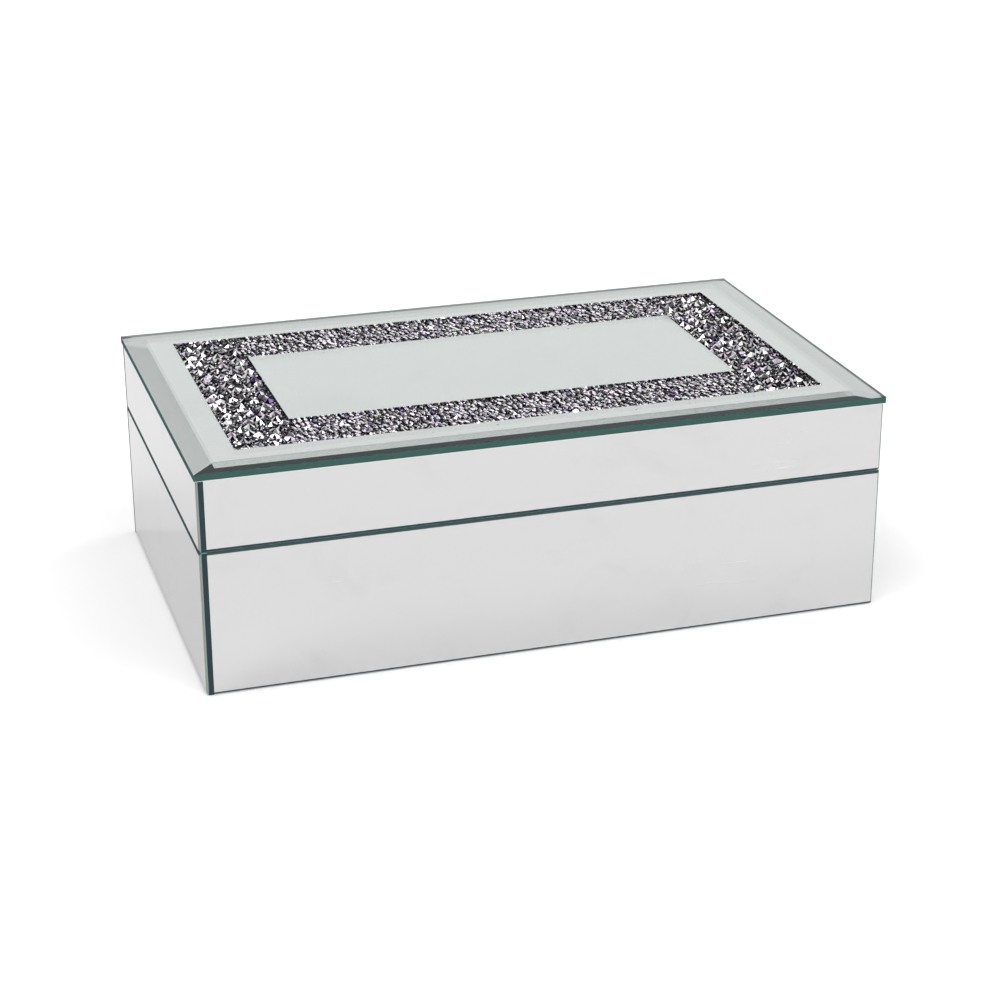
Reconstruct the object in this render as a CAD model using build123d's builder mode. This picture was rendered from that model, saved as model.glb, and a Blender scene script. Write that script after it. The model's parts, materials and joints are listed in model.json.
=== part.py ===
from build123d import *
import os
from math import atan2, degrees, pi, radians, sin

# A mirrored trinket box with a hinged lid and a velvet interior.
# Millimetres, +Z up, +Y to the back. The origin is the centre of the underside.

os.makedirs("parts", exist_ok=True)

# ---- Outer shape ----
body_width = 281.0
body_depth = 171.0
split_height = 59.8          # level of the parting line between base and lid
plate_underside = 89.0
plate_thickness = 3.4
plate_overhang = 0.5
bevel_width = 9.5
bevel_drop = 0.72

# ---- Wall build-up, from the outside in ----
glass_thickness = 3.0
arris = 0.9                  # polished chamfer on the outer edges of each mirror panel
board_thickness = 6.5
lining_thickness = 1.2
rim_gap = 0.1                # each velvet rim stands this far from the parting line
rim_cover = 1.0              # velvet lying over the top of a wall board
glass_foot = 0.2             # the base mirrors reach down beside the felt to this level
glass_setback = 0.3          # each mirror edge stands this far from the parting line

# ---- Bottom and top layers ----
felt_thickness = 0.8
felt_inset = 4.0
bottom_board_thickness = 5.0
floor_lining_thickness = 1.2
silvering_thickness = 0.3
top_board_thickness = 4.7
pad_thickness = 4.4
pad_edge_radius = 1.8

# ---- Crystal band, in the open channel between the top frame glass and the centre glass ----
band_margin = 19.4           # plate edge to band
band_width = 27.2
crystal_drop = 0.2           # top of the band below the top of the glass
strip_clearance = 0.15

# ---- Inside the base ----
divider_centre = -38.0
divider_thickness = 7.0
divider_drop = 3.0           # divider top below the rim
soft_gap = 0.25              # soft pieces stand this far from their neighbours
roll_count = 7
roll_top = 47.0
roll_bed_top = 25.0

# ---- Hinges ----
hinge_centres = {"left": -85.0, "right": 85.0}
hinge_length = 34.0
knuckle_radius = 2.6
pin_radius = 1.1
pin_fit = 0.02               # pin in the base leaf
running_fit = 0.06           # pin in the lid leaf
knuckle_gap = 0.3
middle_knuckle = 14.0
axis_behind_body = 0.2       # the barrel lies in notches in the two back mirrors
notch_gap = 0.3
leaf_thickness = 1.0
leaf_inset = 9.2             # inner edge of a leaf, from the outer face of the glass
leaf_pocket_gap = 0.2
pin_head_radius = 1.7
pin_head_thickness = 0.6
screw_offset = 11.0
screw_inset = 6.0
screw_radius = 0.75
screw_length = 7.0
screw_head_radius = 1.7
screw_head_height = 0.8
pilot_gap = 0.05

# ---- Lid stay: a flat ribbon on the left walls ----
open_angle = 97.0
stay_drop = 6.0              # ribbon ends below and above the parting line
stay_end = -6.5              # how far back along the box the ribbon ends stand
ribbon_width = 8.0
ribbon_thickness = 0.5
stud_radius = 4.4
stud_height = 1.3
stud_dome = 0.7
stud_shank_radius = 0.8
stud_shank_length = 6.0

# ---- Levels and half sizes worked out from the above ----
half_w = body_width / 2
half_d = body_depth / 2
board_half_w = half_w - glass_thickness
board_half_d = half_d - glass_thickness
board_inner_w = board_half_w - board_thickness
board_inner_d = board_half_d - board_thickness
inner_half_w = board_inner_w - lining_thickness
inner_half_d = board_inner_d - lining_thickness

bottom_board_top = felt_thickness + bottom_board_thickness
floor_top = bottom_board_top + floor_lining_thickness
base_rim = split_height - rim_gap
lid_rim = split_height + rim_gap
base_board_top = base_rim - rim_cover
lid_board_bottom = lid_rim + rim_cover
silvering_underside = plate_underside - silvering_thickness
ceiling = silvering_underside - top_board_thickness
pad_face = ceiling - pad_thickness

plate_half_w = half_w + plate_overhang
plate_half_d = half_d + plate_overhang
band_outer_w = plate_half_w - band_margin
band_outer_d = plate_half_d - band_margin
band_inner_w = band_outer_w - band_width
band_inner_d = band_outer_d - band_width
plate_top = plate_underside + plate_thickness

divider_left = divider_centre - divider_thickness / 2
divider_right = divider_centre + divider_thickness / 2
divider_top = base_rim - divider_drop

hinge_y = half_d + axis_behind_body
leaf_y = half_d - leaf_inset
screw_y = half_d - screw_inset
stay_levels = {"base": split_height - stay_drop, "lid": split_height + stay_drop}

# The sides in order round the box, and the plan corners in the same order:
# side number n runs from corner n to corner n + 1.
sides = ["front", "right", "back", "left"]
corners = [(-1, -1), (1, -1), (1, 1), (-1, 1)]
outward = {"front": (0, -1, 0), "right": (1, 0, 0), "back": (0, 1, 0), "left": (-1, 0, 0)}


def save(piece, name):
    """Label a finished piece and write it as one STEP file."""
    piece.part.label = name
    export_step(piece.part, f"parts/{name}.step")


def rectangle_plan(x_low, x_high, y_low, y_high, z):
    """A level rectangle between the given limits."""
    with BuildSketch(Plane.XY.offset(z)) as plan:
        with Locations(((x_low + x_high) / 2, (y_low + y_high) / 2)):
            Rectangle(x_high - x_low, y_high - y_low)
    return plan.sketch


def pinwheel_plan(side, outer_w, outer_d, thickness, z):
    """One wall of a ring of four, each covering the end of the next one round."""
    limits = {
        "front": (-outer_w + thickness, outer_w, -outer_d, -outer_d + thickness),
        "right": (outer_w - thickness, outer_w, -outer_d + thickness, outer_d),
        "back": (-outer_w, outer_w - thickness, outer_d - thickness, outer_d),
        "left": (-outer_w, -outer_w + thickness, -outer_d, outer_d - thickness),
    }
    return rectangle_plan(*limits[side], z)


def mitred_plan(side, outer_w, outer_d, inner_w, inner_d, z):
    """One side of a rectangular ring, cut at 45 degrees at both ends."""
    start = corners[sides.index(side)]
    end = corners[(sides.index(side) + 1) % 4]
    points = [
        (start[0] * outer_w, start[1] * outer_d),
        (end[0] * outer_w, end[1] * outer_d),
        (end[0] * inner_w, end[1] * inner_d),
        (start[0] * inner_w, start[1] * inner_d),
    ]
    with BuildSketch(Plane.XY.offset(z)) as plan:
        with BuildLine():
            Polyline(*points, close=True)
        make_face()
    return plan.sketch


def mirror_panel(side, low, high, top_covered=False):
    """A glass panel with a polished arris on the edges of its outer face that show.

    The back panels are notched for the hinge barrels.
    """
    next_side = sides[(sides.index(side) + 1) % 4]
    with BuildPart() as panel:
        plan = pinwheel_plan(side, half_w, half_d, glass_thickness, low)
        extrude(plan, amount=high - low)
        outer_face = panel.faces().sort_by(Axis((0, 0, 0), outward[side]))[-1]
        showing = outer_face.edges().sort_by(Axis((0, 0, 0), outward[next_side]))[1:]
        if top_covered:
            showing = showing.sort_by(Axis.Z)[:-1]
        chamfer(showing, length=arris)
        if side == "back":
            reach = hinge_length / 2 + pin_head_thickness + notch_gap
            notch_low = split_height - knuckle_radius - notch_gap
            for centre in hinge_centres.values():
                notch = rectangle_plan(
                    centre - reach, centre + reach, board_half_d, half_d, notch_low
                )
                extrude(notch, amount=2 * (knuckle_radius + notch_gap), mode=Mode.SUBTRACT)
    return panel


def wall_board(side, low, high, pilot_level, pilot_way, stud_level):
    """A wall board. The back one has pilot holes for the hinge screws, the left one for the stay."""
    with BuildPart() as board:
        plan = pinwheel_plan(side, board_half_w, board_half_d, board_thickness, low)
        extrude(plan, amount=high - low)
        if side == "back":
            with BuildSketch(Plane.XY.offset(pilot_level)):
                with Locations(*screw_places()):
                    Circle(screw_radius + pilot_gap)
            extrude(amount=pilot_way * (screw_length + pilot_gap), mode=Mode.SUBTRACT)
        if side == "left":
            with BuildSketch(Plane.YZ.offset(-inner_half_w)):
                with Locations((stay_end, stud_level)):
                    Circle(stud_shank_radius + pilot_gap)
            extrude(amount=-stud_shank_length, mode=Mode.SUBTRACT)
    return board


def wall_lining(side, low, high, rim, stud_level):
    """A velvet lining: a skin on the inner face of the board, turned over the board's rim."""
    with BuildPart() as lining:
        whole = mitred_plan(side, board_half_w, board_half_d, inner_half_w, inner_half_d, low)
        extrude(whole, amount=high - low)
        board_low = low if rim == high else low + rim_cover
        behind = mitred_plan(
            side, board_half_w, board_half_d, board_inner_w, board_inner_d, board_low
        )
        extrude(behind, amount=high - low - rim_cover, mode=Mode.SUBTRACT)
        if side == "back":
            reach = hinge_length / 2 + leaf_pocket_gap
            pocket_low = high - rim_cover if rim == high else low
            for centre in hinge_centres.values():
                pocket = rectangle_plan(
                    centre - reach, centre + reach, leaf_y - leaf_pocket_gap, half_d, pocket_low
                )
                extrude(pocket, amount=rim_cover, mode=Mode.SUBTRACT)
        if side == "left":
            with BuildSketch(Plane.YZ.offset(-inner_half_w)):
                with Locations((stay_end, stud_level)):
                    Circle(stud_shank_radius + pilot_gap)
            extrude(amount=-lining_thickness, mode=Mode.SUBTRACT)
    return lining


def screw_places():
    """Plan positions of the screws in one pair of hinge leaves."""
    return [
        (centre + way * screw_offset, screw_y)
        for centre in hinge_centres.values()
        for way in (-1, 1)
    ]


def screw_set(level, way):
    """Four countersunk screws with their heads at one level. Way 1 puts heads up, -1 heads down."""
    with BuildPart() as screws:
        for x, y in screw_places():
            head = Plane(origin=(x, y, level), x_dir=(1, 0, 0), z_dir=(0, -way, 0))
            with BuildSketch(head):
                with BuildLine():
                    Polyline(
                        (0, 0),
                        (screw_head_radius, 0),
                        (screw_radius, -screw_head_height),
                        (screw_radius, -screw_length + screw_radius),
                        (0, -screw_length),
                        close=True,
                    )
                make_face()
            revolve(axis=Axis((x, y, level), (0, 0, 1)))
    return screws


def knuckle_spans(centre, owner):
    """The lengths of the hinge barrel that belong to one leaf: the ends or the middle."""
    middle = middle_knuckle / 2
    end = hinge_length / 2
    if owner == "lid":
        return [(centre - middle + knuckle_gap, centre + middle - knuckle_gap)]
    return [(centre - end, centre - middle), (centre + middle, centre + end)]


def hinge_leaf(centre, owner):
    """A flat leaf with its share of the barrel, bored for the pin and countersunk for screws."""
    other = "base" if owner == "lid" else "lid"
    low = lid_rim if owner == "lid" else base_rim - leaf_thickness
    hole_radius = pin_radius + (running_fit if owner == "lid" else pin_fit)
    face = low if owner == "lid" else base_rim
    way = -1 if owner == "lid" else 1
    with BuildPart() as leaf:
        plate = rectangle_plan(
            centre - hinge_length / 2, centre + hinge_length / 2, leaf_y, hinge_y, low
        )
        extrude(plate, amount=leaf_thickness)
        for start, stop in knuckle_spans(centre, other):
            with BuildSketch(Plane.YZ.offset(start - knuckle_gap)):
                with Locations((hinge_y, split_height)):
                    Circle(knuckle_radius + knuckle_gap)
            extrude(amount=stop - start + 2 * knuckle_gap, mode=Mode.SUBTRACT)
        for start, stop in knuckle_spans(centre, owner):
            with BuildSketch(Plane.YZ.offset(start)):
                with Locations((hinge_y, split_height)):
                    Circle(knuckle_radius)
            extrude(amount=stop - start)
        with BuildSketch(Plane.YZ.offset(centre - hinge_length)):
            with Locations((hinge_y, split_height)):
                Circle(hole_radius)
        extrude(amount=2 * hinge_length, mode=Mode.SUBTRACT)
        for offset_x in (-screw_offset, screw_offset):
            top = Plane(
                origin=(centre + offset_x, screw_y, face), x_dir=(1, 0, 0), z_dir=(0, -way, 0)
            )
            with BuildSketch(top):
                with BuildLine():
                    Polyline(
                        (0, 0),
                        (screw_head_radius + pilot_gap, 0),
                        (screw_radius + pilot_gap, -screw_head_height),
                        (screw_radius + pilot_gap, -leaf_thickness),
                        (0, -leaf_thickness),
                        close=True,
                    )
                make_face()
            revolve(
                axis=Axis((centre + offset_x, screw_y, face), (0, 0, 1)), mode=Mode.SUBTRACT
            )
    return leaf


def hinge_pin(centre):
    """A plain pin through the barrel, with a flat head at each end."""
    end = hinge_length / 2 + pin_fit
    with BuildPart() as pin:
        with BuildSketch(Plane.YZ.offset(centre - end)):
            with Locations((hinge_y, split_height)):
                Circle(pin_radius)
        extrude(amount=2 * end)
        for start in (centre - end - pin_head_thickness, centre + end):
            with BuildSketch(Plane.YZ.offset(start)):
                with Locations((hinge_y, split_height)):
                    Circle(pin_head_radius)
            extrude(amount=pin_head_thickness)
    return pin


def stay_stud(level):
    """A domed stud that pins one end of the ribbon to the left wall."""
    ribbon_face = -inner_half_w + soft_gap + ribbon_thickness + pilot_gap
    with BuildPart() as stud:
        with BuildSketch(Plane.YZ.offset(ribbon_face)):
            with Locations((stay_end, level)):
                Circle(stud_radius)
        extrude(amount=stud_height)
        fillet(stud.faces().sort_by(Axis.X)[-1].edges(), radius=stud_dome)
        with BuildSketch(Plane.YZ.offset(ribbon_face)):
            with Locations((stay_end, level)):
                Circle(stud_shank_radius)
        extrude(amount=-(stud_shank_length - stud_height))
    return stud


# ---- Base: bottom, walls and mirrors ----
with BuildPart() as bottom_felt:
    felt_w = half_w - felt_inset
    felt_d = half_d - felt_inset
    extrude(rectangle_plan(-felt_w, felt_w, -felt_d, felt_d, 0), amount=felt_thickness)
save(bottom_felt, "bottom_felt")

with BuildPart() as base_bottom_board:
    plan = rectangle_plan(
        -board_half_w, board_half_w, -board_half_d, board_half_d, felt_thickness
    )
    extrude(plan, amount=bottom_board_thickness)
save(base_bottom_board, "base_bottom_board")

for side in sides:
    board = wall_board(
        side, bottom_board_top, base_board_top, base_board_top, -1, stay_levels["base"]
    )
    save(board, f"base_{side}_board")
    mirror = mirror_panel(side, glass_foot, split_height - glass_setback)
    save(mirror, f"base_{side}_mirror")
    lining = wall_lining(side, floor_top, base_rim, base_rim, stay_levels["base"])
    save(lining, f"base_{side}_lining")

with BuildPart() as floor_lining:
    plan = rectangle_plan(
        -board_inner_w, board_inner_w, -board_inner_d, board_inner_d, bottom_board_top
    )
    extrude(plan, amount=floor_lining_thickness)
save(floor_lining, "floor_lining")

# ---- Base: divider ----
core_left = divider_left + lining_thickness
core_right = divider_right - lining_thickness
core_top = divider_top - lining_thickness

with BuildPart() as divider_core:
    plan = rectangle_plan(core_left, core_right, -inner_half_d, inner_half_d, floor_top)
    extrude(plan, amount=core_top - floor_top)
save(divider_core, "divider_core")

with BuildPart() as divider_cover:
    plan = rectangle_plan(divider_left, divider_right, -inner_half_d, inner_half_d, floor_top)
    extrude(plan, amount=divider_top - floor_top)
    hollow = rectangle_plan(core_left, core_right, -inner_half_d, inner_half_d, floor_top)
    extrude(hollow, amount=core_top - floor_top, mode=Mode.SUBTRACT)
save(divider_cover, "divider_cover")

# ---- Base: ring rolls, side by side from front to back on a foam bed ----
roll_left = -inner_half_w + soft_gap
roll_length = divider_left - soft_gap - roll_left
roll_pitch = 2 * inner_half_d / roll_count
roll_radius = roll_pitch / 2 - soft_gap

with BuildPart() as ring_bed_foam:
    bed_d = inner_half_d - soft_gap
    plan = rectangle_plan(roll_left, roll_left + roll_length, -bed_d, bed_d, floor_top)
    extrude(plan, amount=roll_bed_top - floor_top)
save(ring_bed_foam, "ring_bed_foam")

for number in range(roll_count):
    centre_y = -inner_half_d + (number + 0.5) * roll_pitch
    shoulder = roll_top - roll_radius
    with BuildPart() as ring_roll:
        with BuildSketch(Plane.YZ.offset(roll_left)):
            with BuildLine():
                Polyline(
                    (centre_y - roll_radius, shoulder),
                    (centre_y - roll_radius, roll_bed_top),
                    (centre_y + roll_radius, roll_bed_top),
                    (centre_y + roll_radius, shoulder),
                )
                ThreePointArc(
                    (centre_y + roll_radius, shoulder),
                    (centre_y, roll_top),
                    (centre_y - roll_radius, shoulder),
                )
            make_face()
        extrude(amount=roll_length)
    save(ring_roll, f"ring_roll_{number + 1}")

# ---- Lid: walls, mirrors and linings ----
for side in sides:
    board = wall_board(side, lid_board_bottom, ceiling, lid_board_bottom, 1, stay_levels["lid"])
    save(board, f"lid_{side}_board")
    lid_glass_low = split_height + glass_setback
    mirror = mirror_panel(side, lid_glass_low, silvering_underside, top_covered=True)
    save(mirror, f"lid_{side}_mirror")
    lining = wall_lining(side, lid_rim, ceiling, lid_rim, stay_levels["lid"])
    save(lining, f"lid_{side}_lining")

# ---- Lid: top board, and the crystal strips that stand on it ----
with BuildPart() as lid_top_board:
    plan = rectangle_plan(-board_half_w, board_half_w, -board_half_d, board_half_d, ceiling)
    extrude(plan, amount=top_board_thickness)
save(lid_top_board, "lid_top_board")

for side in sides:
    with BuildPart() as crystal_strip:
        plan = mitred_plan(
            side,
            band_outer_w - strip_clearance,
            band_outer_d - strip_clearance,
            band_inner_w + strip_clearance,
            band_inner_d + strip_clearance,
            silvering_underside,
        )
        extrude(plan, amount=plate_top - crystal_drop - silvering_underside)
    save(crystal_strip, f"crystal_strip_{side}")

# ---- Lid: the top glass, a bevelled frame and a centre panel, each with a silver coat below ----
with BuildPart() as top_frame_silvering:
    with BuildSketch(Plane.XY.offset(silvering_underside)):
        Rectangle(2 * plate_half_w - arris, 2 * plate_half_d - arris)
        Rectangle(2 * band_outer_w, 2 * band_outer_d, mode=Mode.SUBTRACT)
    extrude(amount=silvering_thickness)
save(top_frame_silvering, "top_frame_silvering")

with BuildPart() as top_glass_frame:
    plan = rectangle_plan(
        -plate_half_w, plate_half_w, -plate_half_d, plate_half_d, plate_underside
    )
    extrude(plan, amount=plate_thickness - bevel_drop)
    bevel_foot = top_glass_frame.faces().sort_by(Axis.Z)[-1]
    extrude(bevel_foot, amount=bevel_drop, taper=degrees(atan2(bevel_width, bevel_drop)))
    with BuildSketch(Plane.XY.offset(plate_underside)):
        Rectangle(2 * band_outer_w, 2 * band_outer_d)
    extrude(amount=plate_thickness, mode=Mode.SUBTRACT)
save(top_glass_frame, "top_glass_frame")

with BuildPart() as top_centre_silvering:
    with BuildSketch(Plane.XY.offset(silvering_underside)):
        Rectangle(2 * band_inner_w, 2 * band_inner_d)
    extrude(amount=silvering_thickness)
save(top_centre_silvering, "top_centre_silvering")

with BuildPart() as top_glass_centre:
    with BuildSketch(Plane.XY.offset(plate_underside)):
        Rectangle(2 * band_inner_w, 2 * band_inner_d)
    extrude(amount=plate_thickness)
save(top_glass_centre, "top_glass_centre")

with BuildPart() as lid_pad:
    pad_w = inner_half_w - soft_gap
    pad_d = inner_half_d - soft_gap
    extrude(rectangle_plan(-pad_w, pad_w, -pad_d, pad_d, pad_face), amount=pad_thickness)
    fillet(lid_pad.faces().sort_by(Axis.Z)[0].edges(), radius=pad_edge_radius)
save(lid_pad, "lid_pad")

# ---- Hinges ----
for place, centre in hinge_centres.items():
    save(hinge_leaf(centre, "base"), f"{place}_hinge_base_leaf")
    save(hinge_leaf(centre, "lid"), f"{place}_hinge_lid_leaf")
    save(hinge_pin(centre), f"{place}_hinge_pin")
save(screw_set(base_rim, 1), "base_hinge_screws")
save(screw_set(lid_rim, -1), "lid_hinge_screws")

# ---- Lid stay ----
# Folded flat along the left wall while the lid is shut: two straight legs and a round turn.
# Its length is the straight distance between its studs with the lid fully open.
stay_reach = hinge_y - stay_end
stay_radius = (stay_reach**2 + stay_drop**2) ** 0.5
stay_angle = open_angle + 2 * degrees(atan2(stay_drop, stay_reach))
ribbon_length = 2 * stay_radius * sin(radians(stay_angle / 2))
leg_length = (ribbon_length - pi * stay_drop) / 2
end_margin = ribbon_width / 2
turn_y = stay_end + leg_length

with BuildPart() as stay_ribbon:
    with BuildSketch(Plane.YZ.offset(-inner_half_w + soft_gap)):
        legs_y = (stay_end - end_margin + turn_y) / 2
        legs_length = leg_length + end_margin
        with Locations((legs_y, split_height)):
            Rectangle(legs_length, 2 * stay_drop + ribbon_width)
        with Locations((turn_y, split_height)):
            Circle(stay_drop + ribbon_width / 2)
        with Locations((legs_y, split_height)):
            Rectangle(legs_length, 2 * stay_drop - ribbon_width, mode=Mode.SUBTRACT)
        with Locations((turn_y, split_height)):
            Circle(stay_drop - ribbon_width / 2, mode=Mode.SUBTRACT)
        with Locations(*[(stay_end, level) for level in stay_levels.values()]):
            Circle(stud_shank_radius + pilot_gap, mode=Mode.SUBTRACT)
    extrude(amount=ribbon_thickness)
save(stay_ribbon, "stay_ribbon")

for body, level in stay_levels.items():
    save(stay_stud(level), f"{body}_stay_stud")
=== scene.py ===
import json
import math

import bmesh
import bpy
import numpy as np
from mathutils import Matrix, Vector, noise


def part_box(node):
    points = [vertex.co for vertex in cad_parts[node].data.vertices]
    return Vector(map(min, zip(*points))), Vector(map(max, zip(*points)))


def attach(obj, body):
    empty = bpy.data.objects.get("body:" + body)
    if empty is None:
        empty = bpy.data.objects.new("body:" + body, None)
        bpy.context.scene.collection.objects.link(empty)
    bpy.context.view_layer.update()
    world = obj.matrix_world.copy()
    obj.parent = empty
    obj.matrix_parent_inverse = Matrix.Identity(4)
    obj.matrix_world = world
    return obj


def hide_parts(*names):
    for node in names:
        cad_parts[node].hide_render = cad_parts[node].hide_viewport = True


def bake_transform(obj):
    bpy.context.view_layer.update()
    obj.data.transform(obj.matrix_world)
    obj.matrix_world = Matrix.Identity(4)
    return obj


# A mirrored trinket box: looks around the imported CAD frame. Metres, +Z up, +Y to the back.

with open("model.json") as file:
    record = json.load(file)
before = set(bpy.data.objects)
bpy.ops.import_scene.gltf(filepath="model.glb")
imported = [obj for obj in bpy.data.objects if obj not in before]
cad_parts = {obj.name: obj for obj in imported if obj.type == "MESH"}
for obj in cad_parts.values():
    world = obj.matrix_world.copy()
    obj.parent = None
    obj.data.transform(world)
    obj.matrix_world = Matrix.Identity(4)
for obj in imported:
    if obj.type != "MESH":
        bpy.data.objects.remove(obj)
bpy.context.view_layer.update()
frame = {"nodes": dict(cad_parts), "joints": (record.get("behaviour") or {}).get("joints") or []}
nodes = frame["nodes"]

MM = 0.001
SEED = 7
SIDES = ("front", "right", "back", "left")


# ---------------------------------------------------------------- shader building

class Shader:
    """A material with one Principled surface, built up node by node."""

    def __init__(self, name):
        self.material = bpy.data.materials.new(name)
        self.material.use_nodes = True
        self.tree = self.material.node_tree
        self.tree.nodes.clear()
        self.surface = self.tree.nodes.new("ShaderNodeBsdfPrincipled")
        self.output = self.tree.nodes.new("ShaderNodeOutputMaterial")
        self.tree.links.new(self.surface.outputs["BSDF"], self.output.inputs["Surface"])
        self.place = self.tree.nodes.new("ShaderNodeTexCoord")

    def feed(self, socket, value):
        """Links an output to a socket, or sets the socket's own value."""
        if isinstance(value, bpy.types.NodeSocket):
            self.tree.links.new(value, socket)
        elif hasattr(value, "__len__") and len(value) == 3 and len(socket.default_value) == 4:
            socket.default_value = (*value, 1)
        else:
            socket.default_value = value

    def add(self, kind, inputs=None, **settings):
        """A new node with its settings and inputs."""
        node = self.tree.nodes.new(kind)
        for key, value in settings.items():
            setattr(node, key, value)
        for key, value in (inputs or {}).items():
            self.feed(node.inputs[key], value)
        return node

    def set(self, **inputs):
        """Sets or links the surface's inputs. An underscore stands for a space."""
        for key, value in inputs.items():
            self.feed(self.surface.inputs[key.replace("_", " ")], value)

    def coordinates(self, scale=(1, 1, 1), rotation=(0, 0, 0)):
        """Object coordinates in metres, stretched and turned."""
        start = self.place.outputs["Object"]
        mapping = self.add("ShaderNodeMapping", {0: start})
        mapping.inputs["Rotation"].default_value = rotation
        mapping.inputs["Scale"].default_value = scale
        return mapping.outputs[0]

    def noise(self, scale, detail=2.0, roughness=0.5, at=None, distortion=0.0):
        """Noise with `scale` features to a metre."""
        inputs = {
            "Vector": at or self.place.outputs["Object"],
            "Scale": scale,
            "Detail": detail,
            "Roughness": roughness,
            "Distortion": distortion,
        }
        return self.add("ShaderNodeTexNoise", inputs).outputs["Fac"]

    def fit(self, value, low, high, to_low=0.0, to_high=1.0, smooth=True):
        """Maps low..high to to_low..to_high and holds it there beyond."""
        kind = "SMOOTHSTEP" if smooth else "LINEAR"
        inputs = {0: value, 1: low, 2: high, 3: to_low, 4: to_high}
        return self.add("ShaderNodeMapRange", inputs, interpolation_type=kind).outputs[0]

    def math(self, operation, first, second=0.0):
        """The result of one sum."""
        return self.add("ShaderNodeMath", {0: first, 1: second}, operation=operation).outputs[0]

    def mix(self, share, first, second, blend="MIX"):
        """Colour `first` turning into `second` as share goes from 0 to 1."""
        node = self.add("ShaderNodeMix", data_type="RGBA", blend_type=blend)
        self.feed(node.inputs[0], share)
        self.feed(node.inputs[6], first)
        self.feed(node.inputs[7], second)
        return node.outputs[2]

    def bump(self, height, depth, strength=1.0):
        """Bumps of `depth` metres from a 0..1 height."""
        node = self.add("ShaderNodeBump", {"Height": height, "Strength": strength})
        node.inputs["Distance"].default_value = depth
        self.feed(self.surface.inputs["Normal"], node.outputs[0])

    def facing(self, axis):
        """How squarely the surface faces along one of the object's own axes, 0 to 1."""
        split = self.add("ShaderNodeSeparateXYZ", {0: self.place.outputs["Normal"]})
        return self.math("ABSOLUTE", split.outputs[axis])


# ---------------------------------------------------------------- materials

# Mirror panels: their edge, its bevels, and the rim that faces up or down. The rim that faces up or down is
# painted bright as lit glass, and the bevels that slant up or down are painted dark as shade.
EDGE_GREEN = (0.028, 0.045, 0.053)
ARRIS_GREEN = (0.24, 0.29, 0.26)
# Painted shade on the bevels that slant up or down, then painted light on the rim that faces up or down.
PAINTED_SHADE_ARRIS_GREEN = (0.060, 0.085, 0.090)
PAINTED_RIM_LIGHT_GREEN = (0.30, 0.56, 0.53)
# How squarely a face looks along an axis, from where it starts to count to where it fully does.
FACE_ON = (0.86, 0.96)
SLANTED = (0.45, 0.62)
# The top plate, with painted shade on its sloping bevel. The tint's density is per metre.
PAINTED_BEVEL_SHADE = (0.80, 0.83, 0.82)
GLASS_TINT = (0.1, 0.82, 0.62)
GLASS_DENSITY = 32.0
GLASS_SHINE = (0.10, 0.55, 0.45)
# The level direction to the main camera's right, along which a facet's painted glint and painted shade are
# set.
PAINTED_GLINT_AXIS = (0.955, -0.297, 0.0)
CRYSTAL_TINTS = (
    # where each hue starts along a stone's random number
    (0.0, (1.0, 1.0, 1.0)),
    (0.46, (0.93, 0.86, 0.98)),
    (0.66, (0.99, 0.91, 0.97)),
    (0.80, (0.80, 0.82, 0.90)),
    (0.93, (0.70, 0.64, 0.84)),
    (0.985, (0.20, 0.13, 0.38)),
)
# Where each grey starts along a facet's value, and the grey. For points and shards the value holds painted
# glint and painted shade by the way a facet faces; for grit it is chance alone.
POINT_PAINTED_GLINT_TONES = ((0.0, 0.03), (0.34, 0.18), (0.42, 0.45), (0.47, 0.98))
SHARD_PAINTED_GLINT_TONES = ((0.0, 0.012), (0.18, 0.10), (0.30, 0.34), (0.41, 0.98))
GRIT_TONES = ((0.0, 0.03), (0.22, 0.11), (0.48, 0.22), (0.76, 0.42), (0.93, 0.95))


def wear(shader):
    """Faint wiping marks and hairline scratches on mirror glass, each 0 to 1."""
    broad = shader.noise(26, detail=5, roughness=0.62, distortion=0.6)
    smears = shader.fit(broad, 0.50, 0.74)
    lines = shader.coordinates(scale=(26, 26, 900), rotation=(0.42, 0.35, 0.2))
    scratches = shader.fit(shader.noise(1, detail=3, at=lines), 0.70, 0.76)
    patches = shader.fit(shader.noise(18, detail=2), 0.52, 0.66)
    return smears, shader.math("MULTIPLY", scratches, patches)


def panel_mirror(name, axis, painted_rim_light=PAINTED_RIM_LIGHT_GREEN):
    """Silvered glass that is a mirror on its faces along one axis and shows green glass at its edges. Its
    rim that faces up or down gets painted light, and its bevels that slant up or down get painted shade.
    """
    shader = Shader(name)
    facing = shader.facing(axis)
    mirror = shader.fit(facing, *FACE_ON)
    bevel = shader.fit(facing, *SLANTED)
    smears, scratches = wear(shader)
    silver = shader.mix(smears, (0.615, 0.613, 0.616), (0.58, 0.582, 0.588))
    silver = shader.mix(scratches, silver, (0.70, 0.70, 0.70))
    tone = shader.noise(140, detail=3)
    edge = shader.mix(tone, EDGE_GREEN, (0.036, 0.058, 0.066))
    # Painted light: the rim that faces up or down turns bright green.
    rim = shader.fit(shader.facing(2), *FACE_ON)
    edge = shader.mix(rim, edge, painted_rim_light)
    # Painted shade: the bevels that slant up or down turn dark.
    level = shader.fit(shader.facing(2), *SLANTED)
    arris_and_painted_shade = shader.mix(level, ARRIS_GREEN, PAINTED_SHADE_ARRIS_GREEN)
    colour = shader.mix(bevel, edge, arris_and_painted_shade)
    colour = shader.mix(mirror, colour, silver)
    rough = shader.math("ADD", shader.fit(smears, 0, 1, 0.025, 0.075), scratches)
    rough = shader.math("MINIMUM", rough, 0.35)
    rough = shader.math("ADD", rough, shader.fit(mirror, 0, 1, 0.12, 0.0))
    shader.set(Base_Color=colour, Metallic=mirror, Roughness=rough, IOR=1.5)
    shader.set(Specular_Tint=(0.84, 0.84, 0.84), Specular_IOR_Level=0.0)
    return shader.material


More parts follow.
